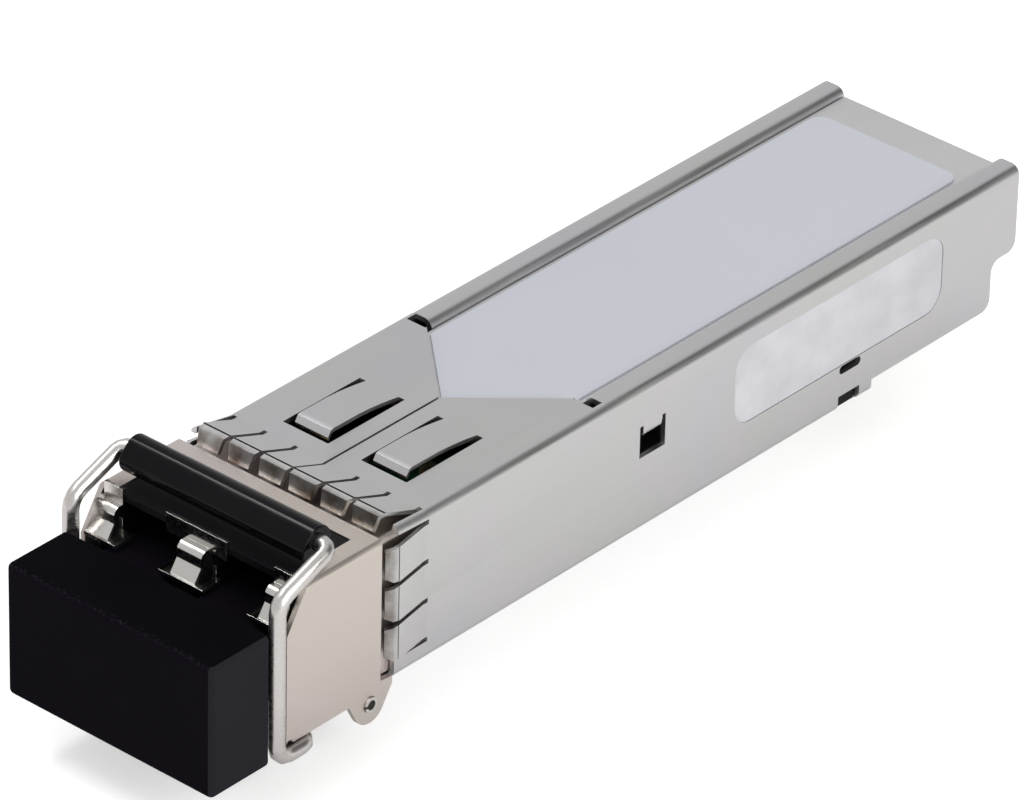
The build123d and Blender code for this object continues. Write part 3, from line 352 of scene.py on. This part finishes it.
# Labels: thin satin film, pale and blank, one on the cover and one in each side
# pocket. The side labels are a little cloudy, as if rubbed.
LABEL_PALE = (0.475, 0.49, 0.545)
LABEL_CLOUD = (0.49, 0.505, 0.56)
SIDE_LABEL_PALE = (0.53, 0.53, 0.56)
SIDE_LABEL_CLOUD = (0.45, 0.45, 0.48)
SIDE_LABEL_EDGE = 0.015 * MM
SIDE_LABEL_SPREAD = 0.04 * MM
FILM_PLACES = (0.35, 0.65)
FILM_GRAIN = 1800
FILM_STRENGTH = 0.15
FILM_DEPTH = 0.01 * MM
GLOSS_SPREAD = 0.05


def moulded_grain_group():
    """Cloudy wear and fine surface grain, for film, plastic, rubber and ceramic."""
    group, given, out = group_with(
        "moulded_grain",
        {"Vector": "Vector", "Patches": "Float", "Grain": "Float", "Strength": "Float",
         "Depth": "Float"},
        {"Clouds": "Float", "Normal": "Vector"})
    vector = given.outputs["Vector"]
    bump = group.nodes.new("ShaderNodeBump")
    group.links.new(given.outputs["Strength"], bump.inputs["Strength"])
    group.links.new(given.outputs["Depth"], bump.inputs["Distance"])
    group.links.new(noise(group, vector, given.outputs["Grain"], 3), bump.inputs["Height"])
    group.links.new(noise(group, vector, given.outputs["Patches"], 4), out.inputs["Clouds"])
    group.links.new(bump.outputs["Normal"], out.inputs["Normal"])
    return group


MOULDED_GRAIN = moulded_grain_group()


def grained(name, stops, roughness, patches, grain, strength, depth, gloss=0.5):
    """Non-metal finish: clouded tone, uneven gloss and a fine grain."""
    material, tree, shader = bare_material(name)
    surface = tree.nodes.new("ShaderNodeGroup")
    surface.node_tree = MOULDED_GRAIN
    given = {"Vector": own_place(tree), "Patches": patches, "Grain": grain,
             "Strength": strength, "Depth": depth}
    for label, value in given.items():
        feed(tree, value, surface.inputs[label])
    clouds = surface.outputs["Clouds"]
    uneven = span(tree, clouds, roughness - GLOSS_SPREAD, roughness + GLOSS_SPREAD)
    tree.links.new(ramp(tree, clouds, stops), shader.inputs["Base Color"])
    tree.links.new(uneven, shader.inputs["Roughness"])
    tree.links.new(surface.outputs["Normal"], shader.inputs["Normal"])
    shader.inputs["Specular IOR Level"].default_value = gloss
    return material


def label_film(name, pale, cloud, roughness, patches):
    """Satin film with two close tones."""
    stops = list(zip(FILM_PLACES, (pale, cloud)))
    return grained(name, stops, roughness, patches, FILM_GRAIN, FILM_STRENGTH, FILM_DEPTH)


def press_into_pockets(mesh):
    """Spreads each side label to its pocket's edges, where the film was pressed in."""
    spots = [vertex.co for vertex in mesh.vertices]
    middle = [(min(spot[axis] for spot in spots) + max(spot[axis] for spot in spots)) / 2
              for axis in range(3)]
    for vertex in mesh.vertices:
        for axis in (1, 2):
            vertex.co[axis] += math.copysign(SIDE_LABEL_SPREAD, vertex.co[axis] - middle[axis])


dress("top_label", label_film(
    "top_label_film", LABEL_PALE, LABEL_CLOUD, roughness=0.42, patches=60))
side_film = label_film(
    "side_label_film", SIDE_LABEL_PALE, SIDE_LABEL_CLOUD, roughness=0.38, patches=420)
side_labels = edged_copy("side_label_films", "side_labels", SIDE_LABEL_EDGE, side_film)
press_into_pockets(side_labels.data)


# Nose shield: a warmer, smoother nickel sheet folded round the plastic housing, with a
# stepped flange under the fingers and two lugs for the latch pin.
NOSE_COLOURS = ((0.63, 0.565, 0.53), (0.65, 0.585, 0.56), (0.64, 0.58, 0.53))
nose_nickel = plated_metal("warm_nickel", NOSE_COLOURS, roughness=0.36, grain=0.1)
nose = edged_copy("nose_sheet_folded", "nose_shield", SHEET_EDGE, nose_nickel)


# Receptacle: black glass-filled plastic, injection moulded, with a finely eroded
# surface and softened mould edges.
HOUSING_BLACK = (0.003, 0.003, 0.004)
HOUSING_SHEEN = (0.006, 0.006, 0.007)
HOUSING_EDGE = 0.08 * MM
WEAR_PLACES = (0.42, 0.75)
WEAR_PATCHES = 240
WEAR_STRENGTH = 0.5


def moulded(name, colour, worn, roughness, grain, depth, gloss=0.5):
    """Moulded plastic, rubber, film or ceramic: fine grain, faint scuffs, uneven gloss."""
    stops = list(zip(WEAR_PLACES, (colour, worn)))
    return grained(name, stops, roughness, WEAR_PATCHES, grain, WEAR_STRENGTH, depth, gloss)


housing_black = moulded(
    "housing_plastic", HOUSING_BLACK, HOUSING_SHEEN,
    roughness=0.45, grain=5000, depth=0.006 * MM, gloss=0.12)
housing = edged_copy("housing_moulding", "receptacle", HOUSING_EDGE, housing_black)


# Earth clip: bright spring sheet, stamped and folded, with three curved arms that end in
# flat feet. Its plate lies on the housing, and is cut back between the lips.
CLIP_COLOURS = ((0.62, 0.60, 0.58), (0.70, 0.68, 0.66), (0.64, 0.63, 0.60))
CLIP_EDGE = 0.012 * MM
CLIP_CUTS = (-4.95 * MM, -2.15 * MM, 1.95 * MM, 4.95 * MM)
CLIP_GAPS = ((-4.97 * MM, -2.13 * MM), (1.93 * MM, 4.97 * MM))
CLIP_FRONT_TO = -26.8 * MM
CLIP_PLATE_FROM = 7.95 * MM
CLIP_NOTCH = 1.2 * MM


def notch_plate(mesh):
    """Cuts the plate's front edge back between the lips, under the roof's shadow."""
    work = bmesh.new()
    work.from_mesh(mesh)
    for cut in CLIP_CUTS:
        bmesh.ops.bisect_plane(
            work, geom=[*work.verts, *work.edges, *work.faces],
            plane_co=(cut, 0, 0), plane_no=(1, 0, 0))
    for vertex in work.verts:
        x, y, z = vertex.co
        between_lips = any(within(x, gap) for gap in CLIP_GAPS)
        if between_lips and y < CLIP_FRONT_TO and z > CLIP_PLATE_FROM:
            vertex.co.y += CLIP_NOTCH
    work.to_mesh(mesh)
    work.free()


clip_metal = plated_metal("bright_spring_sheet", CLIP_COLOURS, roughness=0.16, grain=0.05)
clip = edged_copy("earth_clip_sheet", "ground_clip", CLIP_EDGE, clip_metal)
notch_plate(clip.data)


# Bail: hard drawn round wire, bent over a former, with its ends turned in to pivot
# under the nose. A glossy black grip is moulded round its crossbar.
WIRE_COLOURS = ((0.62, 0.59, 0.575), (0.66, 0.63, 0.61), (0.63, 0.61, 0.59))
WIRE_EDGE = 0.05 * MM
GRIP_BLACK = (0.0025, 0.0025, 0.0035)
GRIP_WORN = (0.004, 0.004, 0.005)
GRIP_EDGE = 0.08 * MM
wire_metal = plated_metal("drawn_wire", WIRE_COLOURS, roughness=0.29, grain=0.02)
wire = edged_copy("bail_wire_round", "bail_wire", WIRE_EDGE, wire_metal, "bail")
grip_black = moulded(
    "grip_plastic", GRIP_BLACK, GRIP_WORN,
    roughness=0.15, grain=2500, depth=0.002 * MM, gloss=0.13)
grip = edged_copy("bail_grip", "bail_sleeve", GRIP_EDGE, grip_black, "bail")


# Latch: stamped rocker on a turned pin, with its leaf spring above. The rocker's rear end
# presses the leaf flat against the housing as the latch is released.
LEAF_EDGE = 0.015 * MM
dress("latch_lever", clip_metal)
leaf = edged_copy("latch_leaf", "latch_spring", LEAF_EDGE, clip_metal)
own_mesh(leaf)
dress("latch_pin", plated_metal("turned_pin", CLIP_COLOURS, roughness=0.3, grain=0.3))


# Dust plug: one soft black moulding, a rounded block with two prongs in the ports. Painted
# light greys its flanks, painted shade blackens its top, painted highlight flecks its front edge.
PLUG_BLACK = (0.0030, 0.0022, 0.0045)
PLUG_WORN = (0.0045, 0.0036, 0.0062)
# Painted light on the plug's flanks:
PLUG_PAINTED_LIGHT = (0.0155, 0.0147, 0.0185)
PLUG_PAINTED_LIGHT_X = 6.6 * MM
# Painted shade on the plug's top:
PLUG_PAINTED_SHADE = (0.0012, 0.0009, 0.0021)
PLUG_PAINTED_SHADE_Z = 6.97 * MM
PLUG_EDGE = 0.1 * MM
PLUG_EDGE_STEPS = 3
# Painted highlight flecks along the plug's front edge:
EDGE_HIGHLIGHT_COLOUR = (0.022, 0.02, 0.026)
EDGE_HIGHLIGHT_BANDS = {"Y": (-33.0 * MM, -33.25 * MM), "Z": (6.75 * MM, 6.95 * MM)}
EDGE_HIGHLIGHT_GRAIN = 8000
EDGE_HIGHLIGHT_STOPS = ((0.52, (0, 0, 0)), (0.72, (1, 1, 1)))


def paint_light_and_shade_on_faces(material, colour, axis, place):
    """Painted light and shade: another tone on the faces that lie past a distance along one axis."""
    tree = material.node_tree
    distance = reckon(tree, "ABSOLUTE", own_axis(tree, axis))
    tint_where(material, reckon(tree, "GREATER_THAN", distance, place), colour)


def paint_edge_highlight(material):
    """Painted highlight: pale flecks where the front and the top face meet."""
    tree = material.node_tree
    mask = ramp(tree, noise(tree, own_place(tree), EDGE_HIGHLIGHT_GRAIN, 2), EDGE_HIGHLIGHT_STOPS)
    for axis, (start, full) in EDGE_HIGHLIGHT_BANDS.items():
        mask = reckon(tree, "MULTIPLY", rise(tree, own_axis(tree, axis), start, full), mask)
    tint_where(material, mask, EDGE_HIGHLIGHT_COLOUR)


plug_black = moulded(
    "plug_rubber", PLUG_BLACK, PLUG_WORN,
    roughness=0.8, grain=1600, depth=0.02 * MM, gloss=0.04)
# Painted light on the flanks, painted shade on the top, painted highlight flecks on the front edge.
paint_light_and_shade_on_faces(plug_black, PLUG_PAINTED_LIGHT, "X", PLUG_PAINTED_LIGHT_X)
paint_light_and_shade_on_faces(plug_black, PLUG_PAINTED_SHADE, "Z", PLUG_PAINTED_SHADE_Z)
paint_edge_highlight(plug_black)
plug = edged_copy("plug_moulding", "dust_plug", PLUG_EDGE, plug_black, "plug", PLUG_EDGE_STEPS)


# Optical sub-assemblies: turned barrels held by a stamped clamp, gold-plated cans, and
# amber flexible strips that join the cans to the board. The board's pads are gold too.
GOLD_COLOURS = ((0.62, 0.47, 0.22), (0.68, 0.53, 0.26), (0.64, 0.50, 0.25))
AMBER = (0.30, 0.12, 0.02)
AMBER_WORN = (0.36, 0.16, 0.03)
barrel_metal = plated_metal("turned_barrel", WIRE_COLOURS, roughness=0.25, grain=0.3)
gold = plated_metal("gold_plating", GOLD_COLOURS, roughness=0.28, grain=0.2)
amber = moulded("amber_film", AMBER, AMBER_WORN, roughness=0.3, grain=900, depth=0.004 * MM)
dress("barrel_clamp", clip_metal)
for node in ("transmit_barrel", "receive_barrel"):
    dress(node, barrel_metal)
for node in ("laser_can", "photodiode_can", "edge_contacts"):
    dress(node, gold)
for node in ("laser_flex", "photodiode_flex"):
    dress(node, amber)


# Board carrier: the same black plastic as the nose, seen through the side windows. A pad
# on each side fills the notch in the shell's bottom edge, as in the photograph: a black
# block that stands in for painted shade deep inside the notch.
CARRIER_EDGE = 0.04 * MM
# Black blocks standing in for painted shade inside the notch.
CARRIER_SHADE_PAD = ((5.85 * MM, 6.38 * MM), (13.835 * MM, 15.415 * MM), (0.04 * MM, 1.6 * MM))


def add_shade_pads(mesh):
    """Adds the two notch pads as plain black blocks, painted shade for the notch's depth."""
    work = bmesh.new()
    work.from_mesh(mesh)
    size = [high - low for low, high in CARRIER_SHADE_PAD]
    x, y, z = [(low + high) / 2 for low, high in CARRIER_SHADE_PAD]
    for side in (-1, 1):
        pad = bmesh.ops.create_cube(work, size=1)["verts"]
        bmesh.ops.scale(work, verts=pad, vec=size)
        bmesh.ops.translate(work, verts=pad, vec=(side * x, y, z))
    work.to_mesh(mesh)
    work.free()


carrier = edged_copy("carrier_moulding", "board_carrier", CARRIER_EDGE, housing_black)
# Painted shade: black blocks in the notch.
add_shade_pads(carrier.data)


# Circuit board and its parts: glass laminate under green solder mask, with chips in
# black epoxy and small capacitors of tan ceramic soldered on.
MASK_GREEN = (0.012, 0.11, 0.045)
MASK_TRACE = (0.020, 0.17, 0.07)
CHIP_BLACK = (0.018, 0.018, 0.020)
CERAMIC_TAN = (0.36, 0.27, 0.18)
CERAMIC_PALE = (0.42, 0.33, 0.23)
BOARD_DEPTH = 0.01 * MM
dress("circuit_board", moulded(
    "solder_mask", MASK_GREEN, MASK_TRACE, roughness=0.3, grain=1500, depth=BOARD_DEPTH))
dress("chip_capacitors", moulded(
    "ceramic", CERAMIC_TAN, CERAMIC_PALE, roughness=0.4, grain=3000, depth=BOARD_DEPTH))
chip_epoxy = moulded(
    "chip_epoxy", CHIP_BLACK, HOUSING_SHEEN, roughness=0.5, grain=4000, depth=BOARD_DEPTH)
for node in ("driver_chip", "amplifier_chip", "controller_chip", "memory_chip"):
    dress(node, chip_epoxy)


# Stage: a plain pale floor, even pale surroundings and two soft lamps. One dark flag in
# the surroundings gives the folded edges the dark line that the photograph shows.
WHITE = (1, 1, 1)
FLOOR_Z = -3.9 * MM
FLOOR_SIZE = 4.0
FLOOR_PALE = (0.86, 0.86, 0.86)
FLOOR_ROUGHNESS = 0.9
FLOOR_LIFT = 0.45
SURROUNDINGS = 0.69
FLAG_SIDE = (0.53, 0.64, 0.56)
FLAG_STARTS = 0.81
FLAG_FULL = 0.95
FLAG_LEVEL = 0.1
LAMP_AIM = Vector((0, 0, 4.0)) * MM


def pale_floor():
    """Floor that keeps a faint shadow and otherwise shows as white paper."""
    material, tree, shader = bare_material("paper_floor")
    path = tree.nodes.new("ShaderNodeLightPath")
    lift = reckon(tree, "MULTIPLY", path.outputs["Is Camera Ray"], FLOOR_LIFT)
    shader.inputs["Base Color"].default_value = (*FLOOR_PALE, 1)
    shader.inputs["Roughness"].default_value = FLOOR_ROUGHNESS
    shader.inputs["Specular IOR Level"].default_value = 0.0
    shader.inputs["Emission Color"].default_value = (*WHITE, 1)
    tree.links.new(lift, shader.inputs["Emission Strength"])
    mesh = bpy.data.meshes.new("floor")
    work = bmesh.new()
    bmesh.ops.create_grid(work, x_segments=1, y_segments=1, size=FLOOR_SIZE / 2)
    bmesh.ops.translate(work, verts=work.verts, vec=(0, 0, FLOOR_Z))
    work.to_mesh(mesh)
    work.free()
    mesh.materials.append(material)
    floor = bpy.data.objects.new("floor", mesh)
    bpy.context.scene.collection.objects.link(floor)


def studio_world():
    """Even pale surroundings with one dark flag, which the folded edges mirror."""
    world = bpy.data.worlds.new("studio")
    bpy.context.scene.world = world
    world.use_nodes = True
    tree = world.node_tree
    toward = tree.nodes.new("ShaderNodeVectorMath")
    toward.operation = "DOT_PRODUCT"
    toward.inputs[1].default_value = FLAG_SIDE
    tree.links.new(tree.nodes.new("ShaderNodeTexCoord").outputs["Generated"], toward.inputs[0])
    level = rise(
        tree, toward.outputs["Value"], FLAG_STARTS, FLAG_FULL, SURROUNDINGS, FLAG_LEVEL, smooth=True)
    background = tree.nodes["Background"]
    background.inputs["Color"].default_value = (*WHITE, 1)
    tree.links.new(level, background.inputs["Strength"])


def soft_light(name, place, size, power, colour):
    """Rectangular soft lamp aimed at the object's middle."""
    lamp = bpy.data.lights.new(name, "AREA")
    lamp.shape = "RECTANGLE"
    lamp.size, lamp.size_y = size
    lamp.energy = power
    lamp.color = colour
    light = bpy.data.objects.new(name, lamp)
    bpy.context.scene.collection.objects.link(light)
    light.location = place
    light.rotation_euler = (LAMP_AIM - Vector(place)).to_track_quat("-Z", "Y").to_euler()


pale_floor()
studio_world()
soft_light("key", place=(-0.25, -0.10, 0.45), size=(0.30, 0.06), power=0.75, colour=WHITE)
soft_light(
    "fill", place=(0.45, -0.05, 0.25), size=(0.30, 0.30), power=1.75, colour=(1.0, 0.985, 0.97))


# Camera: the photograph's own viewpoint, front right and above, through a long lens. Its
# angles were fitted to the object's known sizes in the photograph.
CAMERA_AZIMUTH = math.radians(40.79)
CAMERA_ELEVATION = math.radians(31.78)
CAMERA_ROLL = math.radians(1.34)
CAMERA_DISTANCE = 435.31 * MM
CAMERA_TARGET = Vector((0, 1.075, 4.0)) * MM
CAMERA_SLIDE = (-3.37 * MM, -0.31 * MM)
CAMERA_LENS = 302.38
CAMERA_SENSOR = 36
CAMERA_NEAREST = 0.01
CAMERA_FARTHEST = 20


def photo_camera():
    """Long-lens camera at the fitted azimuth, elevation and roll."""
    level = Vector((math.cos(CAMERA_AZIMUTH), math.sin(CAMERA_AZIMUTH), 0))
    back = Vector((
        math.sin(CAMERA_AZIMUTH) * math.cos(CAMERA_ELEVATION),
        -math.cos(CAMERA_AZIMUTH) * math.cos(CAMERA_ELEVATION),
        math.sin(CAMERA_ELEVATION)))
    above = back.cross(level)
    right = math.cos(CAMERA_ROLL) * level + math.sin(CAMERA_ROLL) * above
    up = -math.sin(CAMERA_ROLL) * level + math.cos(CAMERA_ROLL) * above
    camera = bpy.data.cameras.new("camera")
    camera.lens = CAMERA_LENS
    camera.sensor_width = CAMERA_SENSOR
    camera.clip_start = CAMERA_NEAREST
    camera.clip_end = CAMERA_FARTHEST
    item = bpy.data.objects.new("camera", camera)
    bpy.context.scene.collection.objects.link(item)
    place = CAMERA_TARGET + back * CAMERA_DISTANCE + right * CAMERA_SLIDE[0] + up * CAMERA_SLIDE[1]
    turn = Matrix((right, up, back)).transposed().to_4x4()
    item.matrix_world = Matrix.Translation(place) @ turn
    bpy.context.scene.camera = item


photo_camera()
bpy.context.scene.view_settings.view_transform = "Standard"
